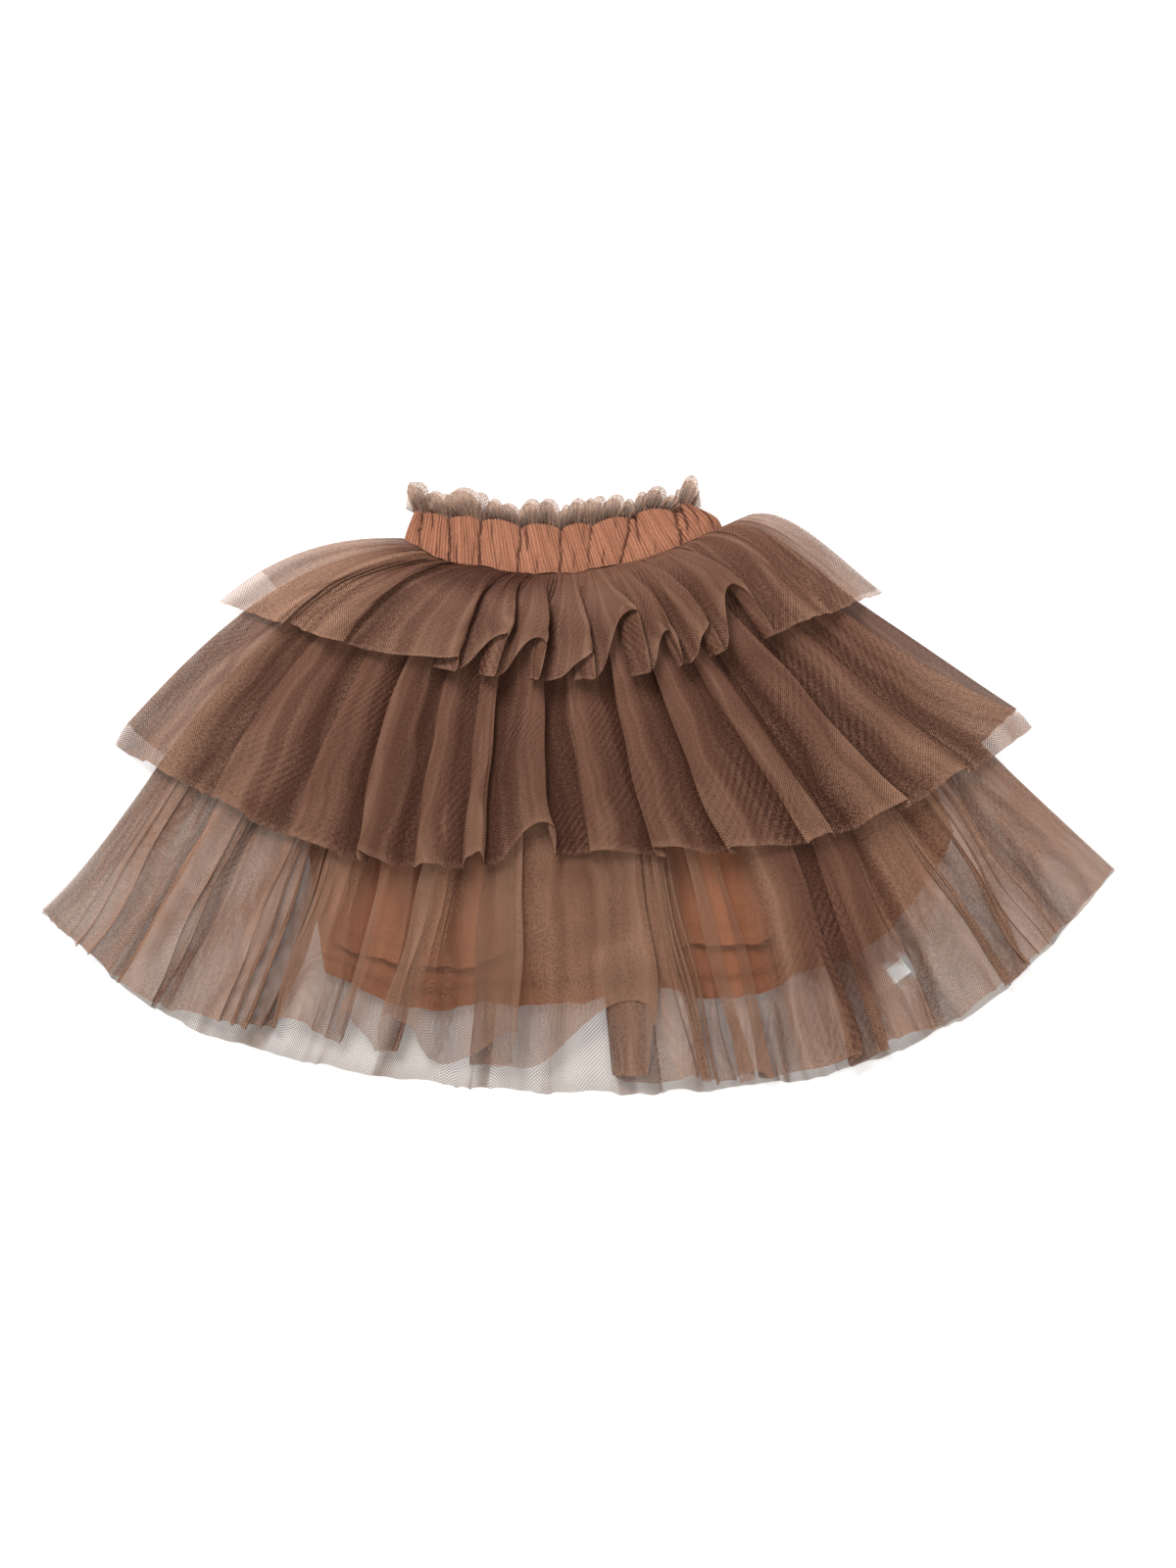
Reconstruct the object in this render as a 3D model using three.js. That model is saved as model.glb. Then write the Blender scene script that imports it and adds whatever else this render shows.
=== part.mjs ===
// A child's tulle skirt, laid flat on its back: a gathered cotton band with a raw net frill over it,
// three tiers of gathered net, front and back, and a cotton lining under the tiers.
// Millimetres. +X runs to the right across the skirt, +Y from the hem to the band, +Z up from the surface.
import * as THREE from "three";

// Walls, and the room between them
const NET_WALL = 1.1;
const COTTON_WALL = 1.3;
const SEAM_GAP = 0.4; // between pieces that are sewn edge to edge
const CLEAR = 0.9; // between sheets that lie on each other

// Band
const BAND_PUFFS = 10; // large gathers of the band, on each side
const BAND_PUFF = 1.5; // how far a puff stands up
const BAND_SCALLOP = 2.2; // how far a puff's top edge stands out
const BAND_PUFF_LOW = 0.35; // what is left of a puff at the band's lower edge

// Frill over the band
const FRILL_WAVES = 18;
const FRILL_LIFT = 3.2;
const FRILL_CURL = 0.8; // sideways swing of a wave, as a share of its width over 2 pi
const FRILL_SPREAD = 0.05; // how far the frill fans out past the band's ends, as a share of the band's width
const FRILL_UNEVEN = 0.2; // how much lower its low stretches are, as a share of its height
const FRILL_BEAT = 0.37; // low stretches for each wave
const FRILL_RISE = 0.7; // the share of its height over which it rises off the band
const FRILL_END = 0.04; // the share of its width, at each end, over which its waves stop swinging

// Woven label by the hem, laid askew
const LABEL = { long: 27.5, high: 11.5, thick: 1.0, x: 213, y: -128, turn: 37 };

// The fan: one row for each ray, evenly spaced from the left side to the right one, with the points [x, y]
// where the ray meets the band's top edge, the band's lower edge and the hems of tiers 1, 2 and 3
const RAYS = [
  { top: [-112, 191], band: [-119, 172], hem1: [-234, 138], hem2: [-310, 43], hem3: [-367, -83] },
  { top: [-90, 186], band: [-92, 158], hem1: [-186, 108], hem2: [-251, -4], hem3: [-285, -153] },
  { top: [-68, 184], band: [-64, 153], hem1: [-133, 92], hem2: [-169, -42], hem3: [-191, -185] },
  { top: [-44, 180], band: [-38, 149], hem1: [-72, 78], hem2: [-90, -53], hem3: [-97, -201] },
  { top: [-19, 178], band: [-10, 149], hem1: [-13, 74], hem2: [-13, -44], hem3: [0, -208] },
  { top: [7, 180], band: [17, 153], hem1: [44, 78], hem2: [67, -44], hem3: [94, -205] },
  { top: [31, 185], band: [44, 158], hem1: [97, 93], hem2: [154, -36], hem3: [191, -189] },
  { top: [54, 188], band: [72, 166], hem1: [154, 113], hem2: [234, -6], hem3: [288, -140] },
  { top: [78, 193], band: [99, 174], hem1: [208, 135], hem2: [302, 53], hem3: [367, -55] },
];

// For the same rays: how high the frill stands, how much of the third tier's length the front one reaches,
// and how far the first tier springs up beside the band
const RAY_FORMS = [
  { frill: 16, reach: 1, puff: 0 },
  { frill: 13, reach: 0.99, puff: 0 },
  { frill: 17, reach: 0.95, puff: 0 },
  { frill: 12, reach: 0.96, puff: 0 },
  { frill: 14, reach: 0.97, puff: 0 },
  { frill: 15, reach: 0.99, puff: 0 },
  { frill: 12, reach: 0.99, puff: 0 },
  { frill: 11, reach: 0.99, puff: 4 },
  { frill: 15, reach: 1, puff: 13 },
];

const SEWN = 0.004; // where a tier starts that is sewn to the band, as a share of a tier's length

// The sheets from the lowest to the highest. Along a ray, 0 is the band and 1, 2 and 3 are the tiers' hems:
// root and hem are where the sheet starts and ends, and the tips how much lower its corners reach.
// left and right are how far its sides stand in from the fan's own sides at the root and at the hem,
// as shares of the fan's width, and bow shapes the side between. lift is how high its folds stand,
// float how far it stands off what is under it, and slant how much shorter the lining's right side lies.
const SHEETS = [
  {
    name: "tier1_back", wall: NET_WALL, lift: 1.2, float: 0, folds: 11,
    root: SEWN, hem: 0.97, leftTip: -0.15, rightTip: 0, slant: 0,
    leftRoot: 0, leftHem: 0, rightRoot: 0, rightHem: 0, bow: 1,
  },
  {
    name: "tier2_back", wall: NET_WALL, lift: 1.2, float: 0, folds: 12,
    root: 0.1, hem: 1.98, leftTip: 0, rightTip: 0, slant: 0,
    leftRoot: 0.05, leftHem: 0, rightRoot: 0.05, rightHem: 0, bow: 2,
  },
  {
    name: "tier3_back", wall: NET_WALL, lift: 1.3, float: 0, folds: 13,
    root: 0.2, hem: 3.0, leftTip: 0, rightTip: 0, slant: 0,
    leftRoot: 0.1, leftHem: 0, rightRoot: 0.08, rightHem: 0, bow: 2,
  },
  {
    name: "lining_back", wall: COTTON_WALL, lift: 1.2, float: 0, folds: 5,
    root: SEWN, hem: 2.66, leftTip: 0, rightTip: 0, slant: 0.35,
    leftRoot: 0.06, leftHem: 0.27, rightRoot: 0.06, rightHem: 0.12, bow: 0.8,
  },
  {
    name: "lining_front", wall: COTTON_WALL, lift: 2.4, float: 0, folds: 5,
    root: SEWN, hem: 2.46, leftTip: 0, rightTip: 0, slant: 0.2,
    leftRoot: 0.06, leftHem: 0.27, rightRoot: 0.06, rightHem: 0.12, bow: 0.8,
  },
  {
    name: "tier3_front", wall: NET_WALL, lift: 5.5, float: 1.6,
    root: 0.2, hem: 3.0, leftTip: 0, rightTip: 0, slant: 0,
    leftRoot: 0.1, leftHem: 0, rightRoot: 0.08, rightHem: 0, bow: 2,
  },
  {
    name: "tier2_front", wall: NET_WALL, lift: 8.0, float: 0,
    root: 0.1, hem: 2.0, leftTip: 0.1, rightTip: 0.1, slant: 0,
    leftRoot: 0.05, leftHem: 0, rightRoot: 0.09, rightHem: 0, bow: 2,
  },
  {
    name: "tier1_front", wall: NET_WALL, lift: 13.0, float: 0,
    root: SEWN, hem: 1.0, leftTip: 0.12, rightTip: 0, slant: 0,
    leftRoot: 0, leftHem: 0, rightRoot: 0, rightHem: 0, bow: 1,
  },
];

// The folds of the front tiers, from left to right. to is where a fold ends across the sheet,
// lift its height as a share of the sheet's, lean how far it laps over its neighbour (right over left below 0,
// left over right above it; past 1 the cloth doubles back), and flare how far its crest draws up from the hem,
// as a share of a tier.
const FOLDS = {
  tier1_front: [
    { to: 0.09, lift: 0.3, lean: -0.5, flare: 0.02 },
    { to: 0.185, lift: 0.35, lean: -0.7, flare: 0.04 },
    { to: 0.35, lift: 0.55, lean: -0.8, flare: 0.12 },
    { to: 0.41, lift: 0.9, lean: -1.4, flare: 0.26 },
    { to: 0.52, lift: 0.75, lean: -1.3, flare: 0.2 },
    { to: 0.58, lift: 1.0, lean: -1.5, flare: 0.34 },
    { to: 0.64, lift: 0.85, lean: -1.4, flare: 0.26 },
    { to: 0.695, lift: 0.9, lean: -1.4, flare: 0.3 },
    { to: 0.757, lift: 0.8, lean: -1.3, flare: 0.24 },
    { to: 0.81, lift: 0.85, lean: -1.4, flare: 0.3 },
    { to: 0.9, lift: 0.4, lean: -0.7, flare: 0.05 },
    { to: 1, lift: 0.3, lean: -0.5, flare: 0.02 },
  ],
  tier2_front: [
    { to: 0.07, lift: 0.35, lean: 0.6, flare: 0.01 },
    { to: 0.14, lift: 0.4, lean: 0.8, flare: 0.02 },
    { to: 0.22, lift: 0.45, lean: 1.1, flare: 0.03 },
    { to: 0.3, lift: 0.55, lean: 1.2, flare: 0.04 },
    { to: 0.36, lift: 0.65, lean: 0.9, flare: 0.06 },
    { to: 0.42, lift: 0.8, lean: -1.2, flare: 0.1 },
    { to: 0.49, lift: 0.9, lean: -1.4, flare: 0.36 },
    { to: 0.572, lift: 0.6, lean: 0.9, flare: 0.05 },
    { to: 0.645, lift: 0.6, lean: 1.2, flare: 0.04 },
    { to: 0.717, lift: 0.6, lean: 1.2, flare: 0.04 },
    { to: 0.78, lift: 0.5, lean: 0.9, flare: 0.03 },
    { to: 0.85, lift: 0.5, lean: -1.1, flare: 0.03 },
    { to: 0.925, lift: 0.4, lean: -1.1, flare: 0.02 },
    { to: 1, lift: 0.3, lean: -0.6, flare: 0.01 },
  ],
  tier3_front: [
    { to: 0.06, lift: 0.4, lean: 0.6, flare: 0.01 },
    { to: 0.14, lift: 0.5, lean: 0.8, flare: 0.02 },
    { to: 0.226, lift: 0.6, lean: 0.9, flare: 0.03 },
    { to: 0.3, lift: 0.7, lean: 1.1, flare: 0.04 },
    { to: 0.375, lift: 0.8, lean: 1.1, flare: 0.06 },
    { to: 0.46, lift: 0.8, lean: -1.1, flare: 0.06 },
    { to: 0.55, lift: 1.0, lean: -1.4, flare: 0.12 },
    { to: 0.634, lift: 0.8, lean: -1.1, flare: 0.06 },
    { to: 0.71, lift: 0.7, lean: 1.0, flare: 0.04 },
    { to: 0.783, lift: 0.8, lean: -1.2, flare: 0.04 },
    { to: 0.86, lift: 0.6, lean: -1.0, flare: 0.03 },
    { to: 0.93, lift: 0.5, lean: -0.8, flare: 0.02 },
    { to: 1, lift: 0.4, lean: -0.6, flare: 0.01 },
  ],
};

// How one sheet passes over another's edge, in shares of a tier's length or of the fan's width
const RISE = 0.1; // before the root of the sheet under it
const DROP = 0.2; // past its hem
const SIDE = 0.055; // outside its side
const TIP = 0.12; // the part of the fan's width over which a hem runs down into its corner
const FLAT_SIDE = 0.12; // the part of the fan's width over which folds die out
const SIDE_LIFT = 0.12; // what is left of a fold's height at the very side
const FOLD_GROWTH = 0.65; // the share of a sheet's length over which its folds reach full height
const FOLD_END = 0.06; // the share of a sheet's width, at each side, over which its folds stop leaning
const FLOAT_RISE = 0.4; // the share of a tier's length over which a sheet comes off what is under it
const FLARE_BEND = 3; // power of the length by which a flare stays near the hem
const CORNER_BEND = 6; // and by which the slant and the corners do

// Places along a ray where every sheet has a row of points, so that stacked sheets bend at the same places
const ROWS = [SEWN, 0.1, 0.2, 0.5, 1.0, 1.2, 1.6, 2.0, 2.2, 2.66, 2.84, 3.0];
const STEPS_IN_A_FOLD = 6;
const STEPS_IN_A_BACK_FOLD = 4;
const STEPS_IN_A_PUFF = 6;
const STEPS_IN_A_WAVE = 5;
const BAND_ROWS = 2;
const FRILL_ROWS = [0, 0.5, 1];
const NEAREST_ROW = 0.05; // a row this near a sheet's root or hem is left out
const NORMAL_STEP = 1e-3; // the share over which a surface's slope is measured

const clamp = (x) => Math.min(Math.max(x, 0), 1);
const mix = (a, b, share) => a + (b - a) * share;

function smooth(from, to, x) {
  const k = clamp((x - from) / (to - from));
  return k * k * (3 - 2 * k);
}

// A smooth curve through one value of the rays, s from 0 at the left side to 1 at the right one
function along(s, valueOf) {
  const last = RAYS.length - 1;
  const place = clamp(s) * last;
  const row = Math.min(Math.floor(place), last - 1);
  const f = place - row;
  const value = (n) => {
    if (n < 0) return 2 * valueOf(0) - valueOf(1);
    if (n > last) return 2 * valueOf(last) - valueOf(last - 1);
    return valueOf(n);
  };
  const [a, b, c, d] = [value(row - 1), value(row), value(row + 1), value(row + 2)];
  return b + 0.5 * f * (c - a + f * (2 * a - 5 * b + 4 * c - d + f * (3 * (b - c) + d - a)));
}

const edgePoint = (edge, s) => [0, 1].map((axis) => along(s, (n) => RAYS[n][edge][axis]));
const formAt = (form, s) => along(s, (n) => RAY_FORMS[n][form]);

// A point of the fan, on a cubic through the band's edge and the three hems
function fanPoint(s, t) {
  const weights = [
    (-(t - 1) * (t - 2) * (t - 3)) / 6,
    (t * (t - 2) * (t - 3)) / 2,
    (-t * (t - 1) * (t - 3)) / 2,
    (t * (t - 1) * (t - 2)) / 6,
  ];
  const points = ["band", "hem1", "hem2", "hem3"].map((edge) => edgePoint(edge, s));
  const sum = (axis) => points.reduce((all, point, i) => all + weights[i] * point[axis], 0);
  return [sum(0), sum(1) + formAt("puff", s) * Math.sin(Math.PI * clamp(t)) ** 2];
}

// Where a sheet's hem lies
function hemAt(sheet, s) {
  const corners = sheet.leftTip * (1 - smooth(0, TIP, s)) + sheet.rightTip * (1 - smooth(0, TIP, 1 - s));
  return sheet.hem + corners - sheet.slant * clamp(s) ** CORNER_BEND;
}

function inset(sheet, side, t) {
  const k = clamp((t - sheet.root) / (sheet.hem - sheet.root)) ** sheet.bow;
  return mix(sheet[side + "Root"], sheet[side + "Hem"], k);
}

const growth = (sheet, t) => smooth(sheet.root, mix(sheet.root, sheet.hem, FOLD_GROWTH), t);
const sideLift = (s) => mix(SIDE_LIFT, 1, smooth(0, FLAT_SIDE, s) * smooth(0, FLAT_SIDE, 1 - s));
const foldLift = (sheet, s, t) => sheet.lift * sideLift(s) * growth(sheet, t);

// 1 where a sheet lies at a place, falling smoothly to 0 outside its edges
function cover(sheet, s, t) {
  const left = inset(sheet, "left", t);
  const right = inset(sheet, "right", t);
  const hem = Math.max(sheet.hem, hemAt(sheet, s));
  return (
    smooth(sheet.root - RISE, sheet.root, t) *
    (1 - smooth(hem, hem + DROP, t)) *
    smooth(left - SIDE, left, s) *
    smooth(right - SIDE, right, 1 - s)
  );
}

const floatOf = (sheet, t) => sheet.float * smooth(sheet.root, sheet.root + FLOAT_RISE, t);

// The height at which a sheet lies: the sum of the sheets under it there
function level(sheet, s, t) {
  let z = floatOf(sheet, t);
  for (const under of SHEETS.slice(0, SHEETS.indexOf(sheet))) {
    z += cover(under, s, t) * (under.wall + CLEAR + floatOf(under, t) + foldLift(under, s, t));
  }
  return z;
}

// The fold values at a phase, which counts folds from the left, blended from one fold's middle to the next's
function foldAt(folds, phase) {
  const place = Math.min(Math.max(phase - 0.5, 0), folds.length - 1);
  const first = Math.min(Math.floor(place), folds.length - 2);
  const blend = (key) => mix(folds[first][key], folds[first + 1][key], place - first);
  const fold = Math.min(Math.floor(phase), folds.length - 1);
  const from = fold ? folds[fold - 1].to : 0;
  const widthOf = (n) => folds[n].to - (n ? folds[n - 1].to : 0);
  return {
    u: mix(from, folds[fold].to, phase - fold),
    width: mix(widthOf(first), widthOf(first + 1), place - first),
    lift: blend("lift"),
    lean: blend("lean"),
    flare: blend("flare"),
  };
}

// Where a folded tier ends at a share u across it
function foldedHem(sheet, u) {
  return sheet.name === "tier3_front" ? sheet.hem * formAt("reach", u) : hemAt(sheet, u);
}

// A point of a folded front tier, at a phase across it and a share v of its length
function foldedPoint(sheet, phase, v) {
  const fold = foldAt(FOLDS[sheet.name], phase);
  const angle = 2 * Math.PI * phase;
  const crest = (fold.lift * (1 - Math.sin(angle))) / 2;
  const fullT = mix(sheet.root, foldedHem(sheet, fold.u), v);
  const left = inset(sheet, "left", fullT);
  const right = inset(sheet, "right", fullT);
  const width = 1 - left - right;
  const inner = smooth(0, FOLD_END, fold.u) * smooth(0, FOLD_END, 1 - fold.u);
  const swing = ((fold.lean * fold.width) / (2 * Math.PI)) * growth(sheet, fullT) * inner;
  const s = left + width * (fold.u + swing * Math.sin(angle));
  const t = fullT - fold.flare * crest * inner * v ** FLARE_BEND;
  const z = level(sheet, s, t) + sheet.wall / 2 + foldLift(sheet, s, t) * crest;
  return new THREE.Vector3(...fanPoint(s, t), z);
}

// A closed wall from two grids of points: place(i, j) gives the upper and the lower point of a column and row.
// Columns run to the right and rows towards the hem.
function wallOf(columns, rows, place) {
  const upper = [];
  const lower = [];
  for (let j = 0; j <= rows; j++) {
    for (let i = 0; i <= columns; i++) {
      const [high, low] = place(i, j);
      upper.push(...high);
      lower.push(...low);
    }
  }
  const top = (i, j) => j * (columns + 1) + i;
  const under = (i, j) => top(i, j) + (columns + 1) * (rows + 1);
  const index = [];
  const quad = (a, b, c, d) => index.push(a, b, c, c, b, d);
  for (let j = 0; j < rows; j++) {
    for (let i = 0; i < columns; i++) {
      quad(top(i, j), top(i, j + 1), top(i + 1, j), top(i + 1, j + 1));
      quad(under(i, j), under(i + 1, j), under(i, j + 1), under(i + 1, j + 1));
    }
    quad(top(0, j), under(0, j), top(0, j + 1), under(0, j + 1));
    quad(top(columns, j), top(columns, j + 1), under(columns, j), under(columns, j + 1));
  }
  for (let i = 0; i < columns; i++) {
    quad(top(i, 0), top(i + 1, 0), under(i, 0), under(i + 1, 0));
    quad(top(i, rows), under(i, rows), top(i + 1, rows), under(i + 1, rows));
  }
  const geometry = new THREE.BufferGeometry();
  geometry.setAttribute("position", new THREE.Float32BufferAttribute([...upper, ...lower], 3));
  geometry.setIndex(index);
  geometry.computeVertexNormals();
  return geometry;
}

// A wall of even thickness about a surface, by its normals, and upright in its sewn row, at a share seam
// along it. surface(a, b) takes shares across and along.
function offsetWall(columns, rowShares, surface, thickness, seam) {
  const place = (i, j) => {
    const a = i / columns;
    const b = rowShares[j];
    const acrossIt = surface(clamp(a + NORMAL_STEP), b).sub(surface(clamp(a - NORMAL_STEP), b));
    const alongIt = surface(a, clamp(b + NORMAL_STEP)).sub(surface(a, clamp(b - NORMAL_STEP)));
    const upright = new THREE.Vector3(0, 0, 1);
    const normal = b === seam ? upright : alongIt.cross(acrossIt).normalize();
    normal.multiplyScalar(thickness / 2);
    const middle = surface(a, b);
    return [middle.clone().add(normal).toArray(), middle.clone().sub(normal).toArray()];
  };
  return wallOf(columns, rowShares.length - 1, place);
}

// Rows of a sheet, as shares of its length
function rowShares(sheet) {
  const inside = ROWS.filter((t) => t > sheet.root + NEAREST_ROW && t < sheet.hem - NEAREST_ROW);
  return [sheet.root, ...inside, sheet.hem].map((t) => (t - sheet.root) / (sheet.hem - sheet.root));
}

function foldedTier(sheet) {
  const folds = FOLDS[sheet.name].length;
  const surface = (a, b) => foldedPoint(sheet, a * folds, b);
  return offsetWall(folds * STEPS_IN_A_FOLD, rowShares(sheet), surface, sheet.wall, 0);
}

// A back tier or a lining: low ridges in its upper face, and in its lower one too where it isn't the underside
function ridgedSheet(sheet, ridgedUnder) {
  const columns = sheet.folds * STEPS_IN_A_BACK_FOLD;
  const shares = rowShares(sheet);
  return wallOf(columns, shares.length - 1, (i, j) => {
    const u = i / columns;
    const t = mix(sheet.root, sheet.hem, shares[j]) + (hemAt(sheet, u) - sheet.hem) * shares[j] ** CORNER_BEND;
    const s = mix(inset(sheet, "left", t), 1 - inset(sheet, "right", t), u);
    const ridge = (foldLift(sheet, s, t) * (1 - Math.cos(2 * Math.PI * sheet.folds * u))) / 2;
    const low = level(sheet, s, t);
    const point = fanPoint(s, t);
    return [
      [...point, low + sheet.wall + ridge],
      [...point, low + (ridgedUnder ? ridge : 0)],
    ];
  });
}

// The band: height q from 0 at its lower edge to 1 at its top edge, with puffs that scallop the top
const BACK_BAND_HIGH = COTTON_WALL + BAND_PUFF;
const BAND_WIDE = RAYS.at(-1).band[0] - RAYS[0].band[0];
const puffAt = (s) => Math.sin(Math.PI * BAND_PUFFS * s) ** 2;
const frontRoot = (s) => level(SHEETS.find((sheet) => sheet.name === "tier1_front"), s, SEWN);

function bandPoint(s, q) {
  const [low, high] = [edgePoint("band", s), edgePoint("top", s)];
  return [mix(low[0], high[0], q), mix(low[1], high[1], q) + BAND_SCALLOP * puffAt(s) * q];
}

function bandPanel(front) {
  const columns = BAND_PUFFS * STEPS_IN_A_PUFF;
  return wallOf(columns, BAND_ROWS, (i, j) => {
    const s = i / columns;
    const q = 1 - j / BAND_ROWS;
    const puff = BAND_PUFF * puffAt(s) * mix(BAND_PUFF_LOW, 1, q);
    const [x, y] = bandPoint(s, q);
    const low = front ? mix(frontRoot(s), BACK_BAND_HIGH + CLEAR, smooth(0, 1, q)) : 0;
    return [
      [x, y, low + COTTON_WALL + puff],
      [x, y, low + (front ? puff : 0)],
    ];
  });
}

// The frill: a raw strip of net that stands over the band's top edge in short waves
function frillPanel(front) {
  const low = front ? BACK_BAND_HIGH + CLEAR : 0;
  const shift = front ? 0 : 0.5;
  const surface = (a, b) => {
    const up = 1 - b;
    const angle = 2 * Math.PI * (FRILL_WAVES * a + shift);
    const inner = smooth(0, FRILL_END, a) * smooth(0, FRILL_END, 1 - a);
    const swing = (FRILL_CURL / (2 * Math.PI * FRILL_WAVES)) * Math.sin(angle) * up * inner;
    const s = a + swing;
    const [x, y] = bandPoint(s, 1);
    const high = formAt("frill", a) * (1 - FRILL_UNEVEN * Math.cos(angle * FRILL_BEAT + 1) ** 2);
    const fan = FRILL_SPREAD * (s - 0.5) * BAND_WIDE * up;
    const wave = (FRILL_LIFT * (1 - Math.sin(angle))) / 2 + (front ? FRILL_LIFT : 0);
    const z = low + NET_WALL / 2 + wave * smooth(0, FRILL_RISE, up);
    return new THREE.Vector3(x + fan, y + SEAM_GAP + high * up, z);
  };
  return offsetWall(FRILL_WAVES * STEPS_IN_A_WAVE, FRILL_ROWS, surface, NET_WALL, 1);
}

const net = new THREE.MeshStandardMaterial({ color: 0x8d6f5b, roughness: 0.9, metalness: 0 });
const cotton = new THREE.MeshStandardMaterial({ color: 0xb5795a, roughness: 0.85, metalness: 0 });
const ribbon = new THREE.MeshStandardMaterial({ color: 0xeeeae4, roughness: 0.7, metalness: 0 });

const skirt = new THREE.Group();

function add(name, geometry, material) {
  const mesh = new THREE.Mesh(geometry, material);
  mesh.name = name;
  skirt.add(mesh);
  return mesh;
}

for (const sheet of SHEETS) {
  const cottonSheet = sheet.name.startsWith("lining");
  const geometry = FOLDS[sheet.name] ? foldedTier(sheet) : ridgedSheet(sheet, sheet.name === "lining_front");
  add(sheet.name, geometry, cottonSheet ? cotton : net);
}
for (const side of ["front", "back"]) {
  add("band_" + side, bandPanel(side === "front"), cotton);
  add("frill_" + side, frillPanel(side === "front"), net);
}
const label = add("label", new THREE.BoxGeometry(LABEL.long, LABEL.high, LABEL.thick), ribbon);
const tier3Back = SHEETS.find((sheet) => sheet.name === "tier3_back");
const labelLow = tier3Back.wall + tier3Back.lift + SEAM_GAP;
label.position.set(LABEL.x, LABEL.y, labelLow + LABEL.thick / 2);
label.rotation.z = THREE.MathUtils.degToRad(LABEL.turn);

// The origin is under the middle of the skirt, on the surface that it lies on
const box = new THREE.Box3().setFromObject(skirt);
const middle = box.getCenter(new THREE.Vector3());
skirt.position.set(-middle.x, -middle.y, 0);

export default skirt;
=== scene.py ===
# A child's tulle skirt, laid flat on its back on a pale surface and seen from straight above.
# The tables are in millimetres, as in the part's source; meshes are written in metres.
# Across the skirt, s runs from 0 at the left side to 1 at the right one. Along a ray, t is 0 at the band's
# lower edge and 1, 2 and 3 at the hems of the three tiers.
import math

import bpy
import numpy as np
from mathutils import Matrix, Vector


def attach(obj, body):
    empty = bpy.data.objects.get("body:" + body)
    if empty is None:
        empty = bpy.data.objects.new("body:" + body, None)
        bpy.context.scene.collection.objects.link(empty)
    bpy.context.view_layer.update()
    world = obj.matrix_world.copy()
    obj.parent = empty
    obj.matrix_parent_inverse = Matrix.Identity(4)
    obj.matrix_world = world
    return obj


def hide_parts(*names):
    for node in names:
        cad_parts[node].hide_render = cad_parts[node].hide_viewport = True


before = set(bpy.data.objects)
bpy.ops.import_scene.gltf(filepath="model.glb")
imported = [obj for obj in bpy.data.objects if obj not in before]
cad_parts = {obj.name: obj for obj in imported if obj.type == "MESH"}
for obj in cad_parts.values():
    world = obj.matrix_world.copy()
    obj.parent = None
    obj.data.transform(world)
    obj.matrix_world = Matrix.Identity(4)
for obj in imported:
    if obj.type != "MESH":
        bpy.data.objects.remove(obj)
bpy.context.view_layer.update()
scene = bpy.context.scene

MM = 0.001
TURN = 2 * math.pi

# Walls of the solids, and the room between them
NET_WALL = 1.1
COTTON_WALL = 1.3
CLEAR = 0.9
BAND_PUFF = 1.5
BACK_BAND_HIGH = COTTON_WALL + BAND_PUFF

# The fan: one row for each ray from the left side to the right one, with the points where the ray meets the
# band's top edge, its lower edge and the hems of tiers 1, 2 and 3
RAYS = [
    {"top": (-112, 191), "band": (-119, 172), "hem1": (-234, 138), "hem2": (-310, 43), "hem3": (-367, -83)},
    {"top": (-90, 186), "band": (-92, 158), "hem1": (-186, 108), "hem2": (-251, -4), "hem3": (-285, -153)},
    {"top": (-68, 184), "band": (-64, 153), "hem1": (-133, 92), "hem2": (-169, -42), "hem3": (-191, -185)},
    {"top": (-44, 180), "band": (-38, 149), "hem1": (-72, 78), "hem2": (-90, -53), "hem3": (-97, -201)},
    {"top": (-19, 178), "band": (-10, 149), "hem1": (-13, 74), "hem2": (-13, -44), "hem3": (0, -208)},
    {"top": (7, 180), "band": (17, 153), "hem1": (44, 78), "hem2": (67, -44), "hem3": (94, -205)},
    {"top": (31, 185), "band": (44, 158), "hem1": (97, 93), "hem2": (154, -36), "hem3": (191, -189)},
    {"top": (54, 188), "band": (72, 166), "hem1": (154, 113), "hem2": (234, -6), "hem3": (288, -140)},
    {"top": (78, 193), "band": (99, 174), "hem1": (208, 135), "hem2": (302, 53), "hem3": (367, -55)},
]

# For the same rays: the frill's height, how much of its length the third tier's front reaches, and how far
# the first tier springs up beside the band
RAY_FORMS = [
    {"frill": 16, "reach": 1.0, "puff": 0},
    {"frill": 13, "reach": 0.99, "puff": 0},
    {"frill": 17, "reach": 0.95, "puff": 0},
    {"frill": 12, "reach": 0.96, "puff": 0},
    {"frill": 14, "reach": 0.97, "puff": 0},
    {"frill": 15, "reach": 0.99, "puff": 0},
    {"frill": 12, "reach": 0.99, "puff": 3},
    {"frill": 11, "reach": 0.99, "puff": 9},
    {"frill": 15, "reach": 1.0, "puff": 20},
]

# Where the seam on the band's lower edge is along a ray
SEWN = 0.004

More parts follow.
